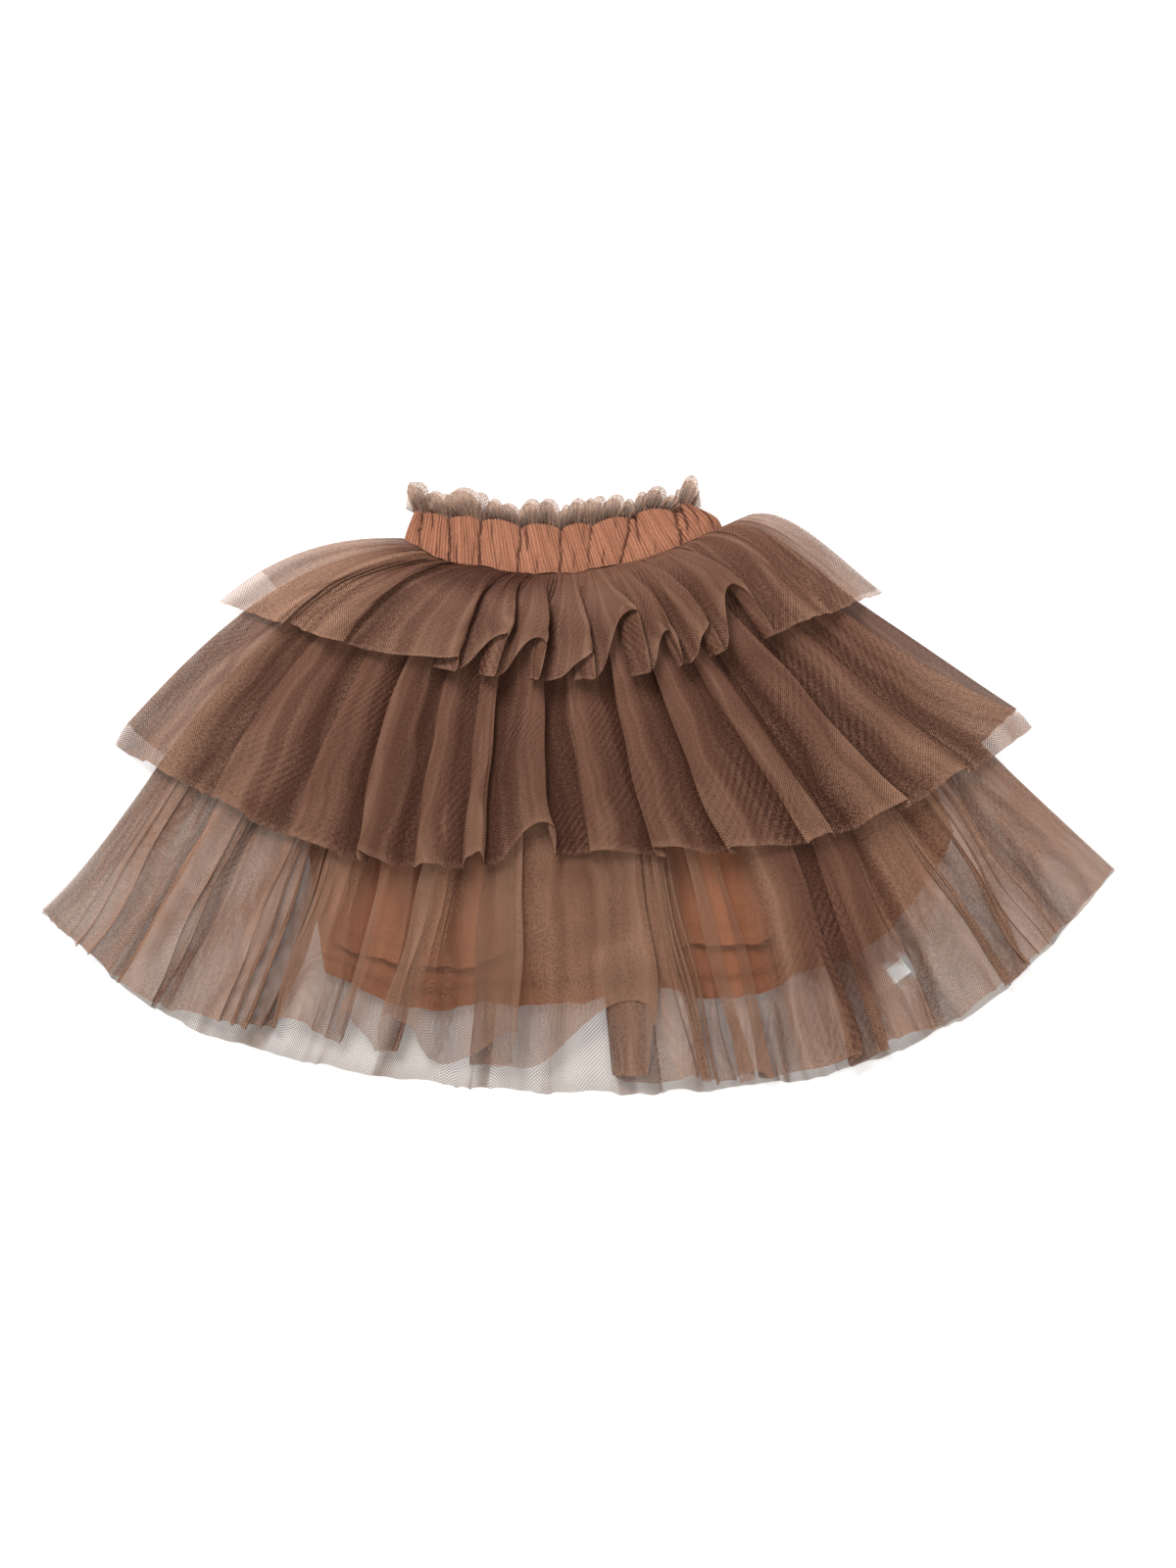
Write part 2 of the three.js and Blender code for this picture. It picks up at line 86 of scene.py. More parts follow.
# The sheets from the lowest to the highest. wall is how thick a sheet is, lift how high its folds stand and
# float how much air is under it. root and hem are where it starts and ends along a ray, the tips how much
# lower its corners reach, and slant how much shorter its right side is. left and right are how far its sides
# stand in from the fan's at the root and at the hem, and bow is how those lines curve.
SHEETS = [
    dict(
        name="tier1_back", wall=NET_WALL, lift=1.2, float=0, root=SEWN, hem=0.97,
        left_tip=-0.15, right_tip=0, slant=0, left=(0, 0), right=(0, 0), bow=1,
    ),
    dict(
        name="tier2_back", wall=NET_WALL, lift=1.2, float=0, root=0.1, hem=1.98,
        left_tip=0, right_tip=0, slant=0, left=(0.05, 0), right=(0.05, 0), bow=2,
    ),
    dict(
        name="tier3_back", wall=NET_WALL, lift=1.3, float=0, root=0.2, hem=3.0,
        left_tip=0, right_tip=0, slant=0, left=(0.1, 0), right=(0.08, 0), bow=2,
    ),
    dict(
        name="lining_back", wall=COTTON_WALL, lift=1.2, float=0, root=SEWN, hem=2.66,
        left_tip=0, right_tip=0, slant=0.35, left=(0.06, 0.27), right=(0.06, 0.12), bow=0.8,
    ),
    dict(
        name="lining_front", wall=COTTON_WALL, lift=2.4, float=0, root=SEWN, hem=2.46,
        left_tip=0, right_tip=0, slant=0.2, left=(0.06, 0.27), right=(0.06, 0.12), bow=0.8,
    ),
    dict(
        name="tier3_front", wall=NET_WALL, lift=5.5, float=1.6, root=0.2, hem=3.0,
        left_tip=0, right_tip=0, slant=0, left=(0.1, 0), right=(0.08, 0), bow=2,
    ),
    dict(
        name="tier2_front", wall=NET_WALL, lift=8.0, float=0, root=0.1, hem=2.0,
        left_tip=0.1, right_tip=0.1, slant=0, left=(0.05, 0), right=(0.09, 0), bow=2,
    ),
    dict(
        name="tier1_front", wall=NET_WALL, lift=13.0, float=0, root=SEWN, hem=1.0,
        left_tip=0.12, right_tip=0, slant=0, left=(0, 0), right=(0, 0), bow=1,
    ),
]
SHEET = {sheet["name"]: sheet for sheet in SHEETS}

# Folds from left to right: where each ends across the sheet, its height, how far it laps over its neighbour
# (right over left below 0, left over right above it), how far its crest draws up from the hem, and how far
# it is rounded out on both sides, into a tube
FOLDS = {
    "tier1_front": [
        (0.09, 0.25, -0.5, 0.02, 0.0), (0.19, 0.3, -0.6, 0.03, 0.1), (0.345, 0.5, -1.2, 0.08, 0.2),
        (0.4, 0.85, -3.0, 0.34, 0.4), (0.465, 0.95, -2.8, 0.4, 0.4), (0.54, 0.75, -1.4, 0.08, 0.3),
        (0.625, 1.0, -3.6, 0.62, 0.6), (0.685, 0.8, -2.6, 0.34, 0.5), (0.745, 0.7, -1.6, 0.12, 0.3),
        (0.82, 0.95, -3.2, 0.5, 0.5), (0.91, 0.35, -0.7, 0.04, 0.2),
        (1, 0.25, -0.5, 0.02, 0.0),
    ],
    "tier2_front": [
        (0.08, 0.3, 0.5, 0.01, 0.1), (0.17, 0.4, 0.7, 0.02, 0.2), (0.255, 0.4, 0.9, 0.02, 0.2),
        (0.31, 0.9, 2.0, 0.05, 0.4), (0.37, 0.5, 0.6, 0.03, 0.2), (0.42, 0.6, 1.2, 0.04, 0.3),
        (0.49, 1.0, -2.6, 0.22, 0.4), (0.575, 0.5, 0.7, 0.03, 0.3), (0.645, 0.85, 1.9, 0.05, 0.3),
        (0.717, 0.75, 1.7, 0.05, 0.3), (0.78, 0.4, 0.6, 0.03, 0.2), (0.855, 0.8, -1.8, 0.06, 0.3),
        (0.925, 0.6, -1.5, 0.03, 0.2), (1, 0.3, -0.5, 0.01, 0.0),
    ],
    "tier3_front": [
        (0.05, 0.4, 0.8, 0.01, 0.1), (0.115, 0.5, 1.3, 0.02, 0.2), (0.19, 0.5, -1.1, 0.03, 0.2),
        (0.25, 0.6, 1.6, 0.05, 0.2), (0.3, 0.6, 1.3, 0.2, 0.2), (0.36, 0.7, 2.0, 0.3, 0.3),
        (0.43, 0.6, -1.4, 0.1, 0.3), (0.56, 1.0, -3.6, 0.36, 0.7), (0.62, 0.6, -1.6, 0.04, 0.3),
        (0.675, 0.5, 2.0, 0.1, 0.3), (0.745, 0.9, -3.6, 0.02, 0.4), (0.82, 0.5, 1.8, 0.08, 0.3),
        (0.88, 0.5, -2.0, 0.02, 0.2), (0.94, 0.4, 1.4, 0.02, 0.2), (1, 0.4, -0.8, 0.01, 0.1),
    ],
    "tier1_back": [(n / 11, 0.6, 0.8 * (-1) ** n, 0.03, 0.2) for n in range(1, 12)],
    "tier2_back": [(n / 12, 0.6, 0.8 * (-1) ** n, 0.02, 0.2) for n in range(1, 13)],
    "tier3_back": [(n / 13, 0.6, 0.8 * (-1) ** n, 0.015, 0.2) for n in range(1, 14)],
}

# How densely a tier lies, from its left side to its right one
DRAPES = {
    "tier3_front": [
        1.0, 0.95, 0.95, 1.1, 0.8, 0.38, 0.75, 0.36, 1.5, 1.6, 0.42, 0.5, 3.2, 1.3, 0.9, 1.3, 1.2,
    ],
    "tier2_front": [1.0, 1.0, 1.0, 1.0, 1.0, 1.0, 0.85, 0.75, 0.9],
    "tier2_back": [1.0, 1.0, 1.0, 1.0, 1.0, 1.0, 1.4, 2.9, 3.8],
}
# The same for the third tier's front below the lining's hem
HEM_DRAPE = [1.0, 0.95, 0.95, 1.1, 0.8, 0.6, 0.75, 0.5, 1.0, 1.0, 0.85, 0.9, 2.2, 1.1, 0.95, 1.1, 1.1]

# The band's shadow, painted on the first tier below it, from its left side to its right one
ROOT_SHADE = [0.0, 0.5, 1.1, 0.9, 0.4, 0.2, 0.25, 0.3, 0.1]

# How one sheet passes over another's edge, in shares of a tier's length or of the fan's width
RISE = 0.1
DROP = 0.2
SIDE = 0.055
TIP = 0.12
FLAT_SIDE = 0.12
SIDE_LIFT = 0.12
FOLD_GROWTH = 0.65
FOLD_END = 0.06
FLOAT_RISE = 0.4


def mix(a, b, share):
    return a + (b - a) * share


def smooth(start, end, x):
    k = np.clip((np.asarray(x, float) - start) / (end - start), 0, 1)
    return k * k * (3 - 2 * k)


def along(s, values):
    """A smooth curve through evenly spaced values, s from 0 to 1."""
    values = np.asarray(values, float)
    padded = np.concatenate([[2 * values[0] - values[1]], values, [2 * values[-1] - values[-2]]])
    place = np.clip(s, 0, 1) * (len(values) - 1)
    row = np.minimum(place.astype(int), len(values) - 2)
    f = place - row
    a, b, c, d = (padded[row + n] for n in range(4))
    return b + 0.5 * f * (c - a + f * (2 * a - 5 * b + 4 * c - d + f * (3 * (b - c) + d - a)))


def edge_point(edge, s):
    return [along(s, [ray[edge][axis] for ray in RAYS]) for axis in (0, 1)]


def form_at(form, s):
    return along(s, [row[form] for row in RAY_FORMS])


def spring_at(s, t):
    """How far the first tier springs up beside the band."""
    return form_at("puff", s) * np.sin(np.pi * np.clip(t, 0, 1) ** 0.6) ** 1.4


def fan_point(s, t):
    """A point of the fan, on a cubic through the band's edge and the three hems."""
    weights = [
        -(t - 1) * (t - 2) * (t - 3) / 6,
        t * (t - 2) * (t - 3) / 2,
        -t * (t - 1) * (t - 3) / 2,
        t * (t - 1) * (t - 2) / 6,
    ]
    points = [edge_point(edge, s) for edge in ("band", "hem1", "hem2", "hem3")]
    x = sum(w * p[0] for w, p in zip(weights, points))
    y = sum(w * p[1] for w, p in zip(weights, points))
    return x, y + spring_at(s, t)


def hem_at(sheet, s):
    corners = sheet["left_tip"] * (1 - smooth(0, TIP, s)) + sheet["right_tip"] * (1 - smooth(0, TIP, 1 - s))
    return sheet["hem"] + corners - sheet["slant"] * np.clip(s, 0, 1) ** 6


def inset(sheet, side, t):
    k = np.clip((t - sheet["root"]) / (sheet["hem"] - sheet["root"]), 0, 1) ** sheet["bow"]
    return mix(*sheet[side], k)


def growth(sheet, t):
    return smooth(sheet["root"], mix(sheet["root"], sheet["hem"], FOLD_GROWTH), t)


def fold_lift(sheet, s, t):
    side = mix(SIDE_LIFT, 1, smooth(0, FLAT_SIDE, s) * smooth(0, FLAT_SIDE, 1 - s))
    return sheet["lift"] * side * growth(sheet, t)


def cover(sheet, s, t):
    """1 where a sheet lies at a place, falling smoothly to 0 outside its edges."""
    hem = np.maximum(sheet["hem"], hem_at(sheet, s))
    left = inset(sheet, "left", t)
    right = inset(sheet, "right", t)
    ends = smooth(sheet["root"] - RISE, sheet["root"], t) * (1 - smooth(0, DROP, t - hem))
    return ends * smooth(-SIDE, 0, s - left) * smooth(-SIDE, 0, 1 - s - right)


def float_of(sheet, t):
    return sheet["float"] * smooth(sheet["root"], sheet["root"] + FLOAT_RISE, t)


def level(sheet, s, t):
    """The height at which a sheet lies: the sum of the sheets under it there."""
    z = float_of(sheet, t)
    for under in SHEETS[: SHEETS.index(sheet)]:
        z = z + cover(under, s, t) * (under["wall"] + CLEAR + float_of(under, t) + fold_lift(under, s, t))
    return z


def fold_at(folds, phase):
    """The fold values at a phase, which counts folds from the left, blended from one middle to the next."""
    table = np.array(folds)
    starts = np.concatenate([[0], table[:-1, 0]])
    widths = table[:, 0] - starts
    place = np.clip(phase - 0.5, 0, len(folds) - 1)
    first = np.minimum(place.astype(int), len(folds) - 2)
    share = place - first
    fold = np.minimum(phase.astype(int), len(folds) - 1)
    u = mix(starts[fold], table[fold, 0], phase - fold)
    blend = [mix(column[first], column[first + 1], share) for column in (widths, *table.T[1:])]
    return u, *blend


def wander(x, seed, octaves=4):
    """A smooth uneven curve of x, about -1 to 1, the same on every run."""
    total = 0
    for n in range(octaves):
        total = total + np.sin(TURN * x * (1.7**n) + seed * (2.3 + n) + n * n) / (1 + 0.6 * n)
    return total / 2.2


# How the net is gathered. layers is how densely it is woven and thin what is left of that at its sides. open
# is the share of its length that the tier above it covers. waves are the small pleats within the main folds,
# with pleats for their depth, swing for how far they sway and rise for their height. stray is how far the
# folds wander, uneven how ragged the hem is, and gathers counts the fine ones at the root. shaded is how dark
# the shade painted into the folds is, and columns and rows are the sheet's grid.
GATHER = {
    "tier1_front": dict(
        layers=1.75, thin=0.42, open=0.0, waves=43, pleats=0.3, swing=0.9, rise=2.6, stray=0.004,
        uneven=0.008, gathers=150, columns=1100, rows=50, shaded=0.75, seed=1.3,
    ),
    "tier2_front": dict(
        layers=2.0, thin=0.5, open=0.5, waves=52, pleats=0.15, swing=1.0, rise=3.0, stray=0.006,
        uneven=0.008, gathers=170, columns=1150, rows=62, shaded=0.95, seed=4.1,
    ),
    "tier3_front": dict(
        layers=0.85, thin=0.95, open=0.68, waves=66, pleats=0.75, swing=1.6, rise=3.0, stray=0.009,
        uneven=0.02, gathers=150, columns=1250, rows=72, shaded=0.8, seed=7.9,
    ),
    "tier1_back": dict(
        layers=0.55, thin=0.8, open=1.0, waves=44, pleats=0.4, swing=0.9, rise=0.5, stray=0.004,
        uneven=0.006, gathers=0, columns=700, rows=28, shaded=0.7, seed=2.6,
    ),
    "tier2_back": dict(
        layers=0.75, thin=0.8, open=1.0, waves=55, pleats=0.4, swing=0.9, rise=0.5, stray=0.004,
        uneven=0.006, gathers=0, columns=700, rows=36, shaded=0.7, seed=5.5,
    ),
    "tier3_back": dict(
        layers=0.74, thin=1.0, open=1.0, waves=46, pleats=0.1, swing=0.8, rise=0.6, stray=0.006,
        uneven=0.008, gathers=0, columns=800, rows=48, shaded=0.3, seed=9.2,
    ),
}
# What is left of a pleat's height under the tier above, and how narrow the hem's last row is
COVERED_RISE = 0.35
HEM_LINE = 0.006
# How sharply a fold's hem drops on the side turned under, and how much shade is painted on that side
TURN_UNDER = 2.5
UNDER_SHADE = 0.45
# How the small pleats sway and differ in width, and how far they draw the hem up
PLEAT_SWAY = 0.3
PLEAT_UNEVEN = 2.2
PLEAT_DRAW = 0.008
# The fine gathers at the root: their height and how far down they reach
RUCK_HIGH = 0.5
RUCK_LONG = 0.45
# How far the first tier rises where it springs up beside the band
SPRING_RISE = 0.3
# No cloth lies lower than this, in mm
LOWEST = 0.25
# How near its sides a tier thins out, in shares of its width, and where the drape below the lining takes over
THIN_LEFT = 0.27
THIN_RIGHT = 0.13
HEM_DRAPE_SPAN = (0.83, 0.91)
# How much denser the fine gathers make the net, and the fewest and the most layers that are reckoned with
RUCK_DENSE = 0.5
FEWEST = 0.8
MOST = 6


def tier_grid(sheet):
    """Points of a gathered tier in mm, their places across, how rucked they are, and the shade painted on
    them deep in a fold.
    """
    name = sheet["name"]
    g = GATHER[name]
    folds = FOLDS[name]
    u0 = np.linspace(0, 1, g["columns"] + 1)[None, :]
    v = np.append(np.linspace(0, 1 - HEM_LINE, g["rows"]), 1)[:, None]
    u0, v = np.broadcast_arrays(u0, v)
    phase = u0 * len(folds)
    angle = TURN * phase
    u, width, lift, lean, flare, tube = fold_at(folds, phase)
    crest = (1 - np.sin(angle)) / 2
    # the hem of a fold rises slowly along its upper side and drops back quickly on the side turned under
    upper = 0.5 + 0.5 * np.tanh(TURN_UNDER * np.cos(angle) * lean)
    draws = mix(smooth(0.7, 1, crest), smooth(0.15, 1, crest), upper)
    hem = sheet["hem"] * form_at("reach", u) if name == "tier3_front" else hem_at(sheet, u)
    full_t = mix(sheet["root"], hem, v)
    left = inset(sheet, "left", full_t)
    right = inset(sheet, "right", full_t)
    inner = smooth(0, FOLD_END, u) * smooth(0, FOLD_END, 1 - u)
    grown = growth(sheet, full_t)
    swing = width / TURN * grown * inner * (lean * np.sin(angle) - tube * np.sin(2 * angle) / 2)
    # the small pleats wander as they run down, and differ in depth and spacing
    seed = g["seed"]
    drift = PLEAT_SWAY * wander(v * 0.35 + 2.1 * u, seed) * v
    small = TURN * (g["waves"] * u0 + PLEAT_UNEVEN * wander(u0 * 3.1, seed + 1) + drift)
    depth = np.clip(g["pleats"] + 0.75 * wander(u0 * 7.3 + 0.2 * v, seed + 2), 0.04, 1.5)
    pleat = depth * smooth(0, 0.12, v) * mix(1.0, 0.8, v)
    side = g["swing"] / (TURN * g["waves"]) * pleat * inner * np.sin(small)
    stray = g["stray"] * wander(v * 0.9 + 5 * u, seed + 6) * v * inner
    s = left + (1 - left - right) * (u + swing + side + stray)
    draw = PLEAT_DRAW * pleat * np.cos(small) * v**2
    t = full_t - flare * draws * lift * inner * v**3 - draw + g["uneven"] * wander(u0 * 13, seed + 5) * v**4
    z = level(sheet, s, t) + sheet["wall"] / 2 + fold_lift(sheet, s, t) * crest * lift
    if name == "tier1_front":
        z = z + SPRING_RISE * spring_at(s, t)
    bare = mix(COVERED_RISE, 1, smooth(g["open"] - 0.05, g["open"] + 0.15, v)) if g["open"] < 1 else 1.0
    calm = mix(0.3, 1, smooth(0, 0.1, u) * smooth(0, 0.1, 1 - u))
    small_crest = 0.5 - 0.5 * np.cos(small)
    z = z + g["rise"] * bare * calm * np.minimum(pleat, 1) * small_crest
    ruck = np.zeros_like(z)
    if g["gathers"]:
        fine = TURN * (g["gathers"] * u0 + 1.3 * wander(u0 * 9.7, seed + 3) + 0.3 * v)
        ruck = np.clip(0.7 + 0.5 * wander(u0 * 21, seed + 4), 0.1, 1.2)
        ruck = ruck * (1 - smooth(0, RUCK_LONG, v)) ** 1.5
        z = z + RUCK_HIGH * ruck * np.sin(fine)
    # deep is painted shade: darker in the troughs of the folds and on the sides turned under, lighter on the
    # crests of the small pleats
    under = smooth(0, 0.8, -np.gradient(s, axis=1) * g["columns"])
    steep = np.clip(lift * 1.2, 0, 1)
    deep = np.clip((1 - crest) * steep + 0.3 * (1 - steep) + 0.12 - 0.3 * small_crest * pleat, 0, 1) * grown
    deep = np.maximum(deep, UNDER_SHADE * under * smooth(0.1, 0.5, v)) * g["shaded"]
    # the band's shadow is painted on the first tier near its root
    if name == "tier1_front":
        deep = np.maximum(deep, along(s, ROOT_SHADE) * (1 - smooth(0.1, 0.75, v)))
    x, y = fan_point(s, t)
    points = np.stack([x, y, np.maximum(z, LOWEST)], axis=-1)
    return points, s, ruck, deep


# The row of a grid, as a share of its length, along which its cloth is measured across
MEASURED_ROW = 0.8


def cloth_lengths(points):
    """Lengths across and along a grid of points: u in metres from the left, v in metres from the root."""
    across = np.linalg.norm(np.diff(points, axis=1), axis=-1)
    wide = across[int(len(across) * MEASURED_ROW)]
    u = np.concatenate([[0], np.cumsum(wide)])[None, :] * np.ones((points.shape[0], 1))
    down = np.linalg.norm(np.diff(points, axis=0), axis=-1).mean(axis=1)
    v = np.concatenate([[0], np.cumsum(down)])[:, None] * np.ones((1, points.shape[1]))
    return u * MM, v * MM


def density_of(points, u_cloth):
    """Layers of cloth for each unit of ground, seen from above, where it doesn't fold back on itself."""
    du = np.gradient(u_cloth / MM, axis=1)
    dx = np.gradient(points[..., 0], axis=1)
    dy = np.gradient(points[..., 1], axis=1)
    plan = np.sqrt(dx * dx + dy * dy)
    return np.clip(du / np.maximum(plan, 1e-3), FEWEST, MOST)


def grid_mesh(name, points, uv, floats, material):
    """A one-sided sheet from a grid of points in mm, with a UV map in metres and values at its points."""
    rows, columns = points.shape[:2]
    index = np.arange(rows * columns).reshape(rows, columns)
    quads = np.stack([index[:-1, :-1], index[1:, :-1], index[1:, 1:], index[:-1, 1:]], axis=-1).reshape(-1, 4)
    mesh = bpy.data.meshes.new(name)
    mesh.vertices.add(rows * columns)
    mesh.vertices.foreach_set("co", (points.reshape(-1, 3) * MM).astype(np.float32).ravel())
    mesh.loops.add(quads.size)
    mesh.loops.foreach_set("vertex_index", quads.ravel().astype(np.int32))
    mesh.polygons.add(len(quads))
    mesh.polygons.foreach_set("loop_start", np.arange(0, quads.size, 4, dtype=np.int32))
    mesh.update(calc_edges=True)
    mesh.polygons.foreach_set("use_smooth", np.ones(len(quads), bool))
    layer = mesh.uv_layers.new(name="cloth")
    corners = np.stack(uv, axis=-1).reshape(-1, 2)[quads.ravel()]
    layer.data.foreach_set("uv", corners.astype(np.float32).ravel())
    for key, values in floats.items():
        attribute = mesh.attributes.new(key, "FLOAT", "POINT")
        spread = np.broadcast_to(values, (rows, columns))
        attribute.data.foreach_set("value", spread.astype(np.float32).ravel())
    mesh.materials.append(material)
    piece = bpy.data.objects.new(name, mesh)
    scene.collection.objects.link(piece)
    return piece


class Nodes:
    """Short calls for building a material's nodes."""

    def __init__(self, name):
        self.material = bpy.data.materials.new(name)
        self.material.use_nodes = True
        self.tree = self.material.node_tree
        self.tree.nodes.clear()
        self.output = self.tree.nodes.new("ShaderNodeOutputMaterial")
        self.shader = self.tree.nodes.new("ShaderNodeBsdfPrincipled")
        self.join(self.shader.outputs["BSDF"], self.output.inputs["Surface"])

    def join(self, out, socket):
        self.tree.links.new(out, socket)

    def put(self, value, socket):
        if hasattr(value, "links"):
            self.join(value, socket)
        else:
            socket.default_value = value

    def math(self, operation, a, b=0.0, c=0.0, clamp=False):
        node = self.tree.nodes.new("ShaderNodeMath")
        node.operation = operation
        node.use_clamp = clamp
        for value, socket in zip((a, b, c), node.inputs):
            self.put(value, socket)
        return node.outputs[0]

    def attribute(self, name):
        node = self.tree.nodes.new("ShaderNodeAttribute")
        node.attribute_name = name
        return node.outputs["Fac"]

    def uv(self):
        node = self.tree.nodes.new("ShaderNodeUVMap")
        node.uv_map = "cloth"
        split = self.tree.nodes.new("ShaderNodeSeparateXYZ")
        self.join(node.outputs[0], split.inputs[0])
        return node.outputs[0], split.outputs[0], split.outputs[1]

    def noise(self, vector, scale, detail=3.0, rough=0.55):
        node = self.tree.nodes.new("ShaderNodeTexNoise")
        node.inputs["Scale"].default_value = scale
        node.inputs["Detail"].default_value = detail
        node.inputs["Roughness"].default_value = rough
        self.join(vector, node.inputs["Vector"])
        return node.outputs["Fac"]

    def span(self, value, low, high, to_low=0.0, to_high=1.0):
        node = self.tree.nodes.new("ShaderNodeMapRange")
        node.interpolation_type = "SMOOTHSTEP"
        for socket, number in zip(node.inputs[1:5], (low, high, to_low, to_high)):
            socket.default_value = number
        self.put(value, node.inputs[0])
        return node.outputs[0]

    def blend(self, share, low, high):
        node = self.tree.nodes.new("ShaderNodeMix")
        node.data_type = "RGBA"
        self.put(share, node.inputs[0])
        self.put(low, node.inputs[6])
        self.put(high, node.inputs[7])
        return node.outputs[2]

    def bump(self, height, distance, strength=1.0):
        node = self.tree.nodes.new("ShaderNodeBump")
        node.inputs["Strength"].default_value = strength
        node.inputs["Distance"].default_value = distance
        self.join(height, node.inputs["Height"])
        self.join(node.outputs[0], self.shader.inputs["Normal"])


# The net's holes in metres, the slant of its threads, and their width as a share of a hole's
NET_PITCH = 0.0016
NET_SLANT = 0.82
NET_THREAD = 0.42
# How much of a hole each further layer closes, and how much a single one blurs it
NET_COVER = 0.55
FUZZ = 0.3
# The net's colours: the painted shade deep in a fold, where it lies thick, and in the thin layers of fronts,
# backs and loops. All are one net under different light: thick net is painted darker for the shade of its own
# layers, and the thin layers are painted lighter for the light that comes through them.
NET_SHADE_AND_GRAIN = (0.04, 0.012, 0.006, 1)
NET_MIDDLE = (0.14, 0.064, 0.04, 1)
NET_SHEER = (0.36, 0.2, 0.13, 1)
NET_SINGLE = (0.265, 0.2, 0.158, 1)
NET_LOOPS = (0.4, 0.245, 0.165, 1)
# The slanting bands where layers beat: how close they are, how they lean and bend, and how strong they are
BEAT = 1150
BEAT_LEAN = 0.8
BEAT_BEND = 11.0
BEAT_SHADE = 0.21
GRAIN_SCALE = 600.0
GRAIN_SHADE = 0.24
# How much shade is painted into the holes, where the layers beneath lie in shadow
HOLE_SHADE = 0.4
# How much of the tone and the shade a hem line loses
HEM_PALE = 0.8


def net_values(density, hem, deep, uv, seed, least=0.0):
    """Values for the net material: how far holes are closed and threads thinned, its tone, painted darker
    where it lies thick, and its painted shade.
    """
    u, v = uv
    streak = 0.2 * wander(u * 46 + 0.25 * wander(v * 5 + 3 * u, seed), seed + 1)
    cover = np.maximum(1 - (1 - NET_COVER) ** np.maximum(density - 1, 0), FUZZ * np.clip(density, 0, 1))
    cover = np.maximum(cover, least)
    return {
        "cover": cover,
        "thin": np.clip(density, 0, 1),
        "hem": hem,
        "tone": np.clip(smooth(0.3, 2.2, density) + streak, 0, 1) * (1 - HEM_PALE * hem),
        "shade": (0.85 * smooth(0.1, 1, deep) + 0.6 * streak) * (1 - HEM_PALE * hem),
    }


def net_material(name, sheer):
    """Nylon net: threads in two slanting directions over open holes, closing up where the cloth is dense."""
    n = Nodes(name)
    vector, u, v = n.uv()
    edges = []
    for slope in (1, -1):
        diagonal = n.math("MULTIPLY_ADD", v, NET_SLANT * slope, u)
        wave = n.math("FRACT", n.math("DIVIDE", diagonal, NET_PITCH))
        edges.append(n.math("ABSOLUTE", n.math("SUBTRACT", wave, 0.5)))
    nearest = n.math("MAXIMUM", *edges)
    threads = n.span(nearest, 0.5 - NET_THREAD * 0.75, 0.5 - NET_THREAD * 0.25)
    alpha = n.math("MAXIMUM", n.math("MULTIPLY", threads, n.attribute("thin")), n.attribute("hem"))
    hole = n.math("MULTIPLY", n.math("SUBTRACT", 1.0, alpha), n.math("SUBTRACT", 1.0, n.attribute("cover")))
    n.join(n.math("SUBTRACT", 1.0, hole, clamp=True), n.shader.inputs["Alpha"])
    # where layers lie together their threads beat, in slanting bands
    slope = n.math("ADD", n.math("MULTIPLY", u, BEAT), n.math("MULTIPLY", v, BEAT * BEAT_LEAN))
    beat = n.math("SINE", n.math("MULTIPLY_ADD", n.noise(vector, 6.0, 2), BEAT_BEND, slope))
    patch = n.span(n.noise(vector, 13.0, 2), 0.45, 0.62, 0.0, BEAT_SHADE)
    beat = n.math("MULTIPLY", n.math("MULTIPLY", beat, n.attribute("tone")), patch)
    grain = n.span(n.noise(vector, GRAIN_SCALE, 1), 0.3, 0.7, -GRAIN_SHADE, GRAIN_SHADE)
    # painted shade in the holes between the threads
    weave = n.span(threads, 0.0, 1.0, HOLE_SHADE, 0.0)
    # painted shade: of the folds, and of the shaded layers seen through the holes, with random streaks, grain
    # and the beat bands
    shade = n.math("ADD", n.math("ADD", n.attribute("shade"), beat), n.math("ADD", grain, weave), clamp=True)
    cloth = n.blend(n.attribute("tone"), sheer, NET_MIDDLE)
    n.join(n.blend(shade, cloth, NET_SHADE_AND_GRAIN), n.shader.inputs["Base Color"])
    n.shader.inputs["Roughness"].default_value = 0.7
    n.shader.inputs["Specular IOR Level"].default_value = 0.15
    n.shader.inputs["Sheen Weight"].default_value = 0.06
    n.shader.inputs["Sheen Roughness"].default_value = 0.4
    n.shader.inputs["Sheen Tint"].default_value = (0.7, 0.5, 0.38, 1)
    return n.material


# The painted shade of creases, ribs and partings, which also colours the lining's hem stitching
CREASE_SHADE_AND_STITCH = (0.06, 0.016, 0.009, 1)
RIBBON_WHITES = (0.86, 0.85, 0.82, 1), (0.95, 0.94, 0.92, 1)
# How far apart threads are, in metres
LINING_KNIT = 0.0009
BAND_KNIT = 0.0019
RIBBON_RIB = 0.0006


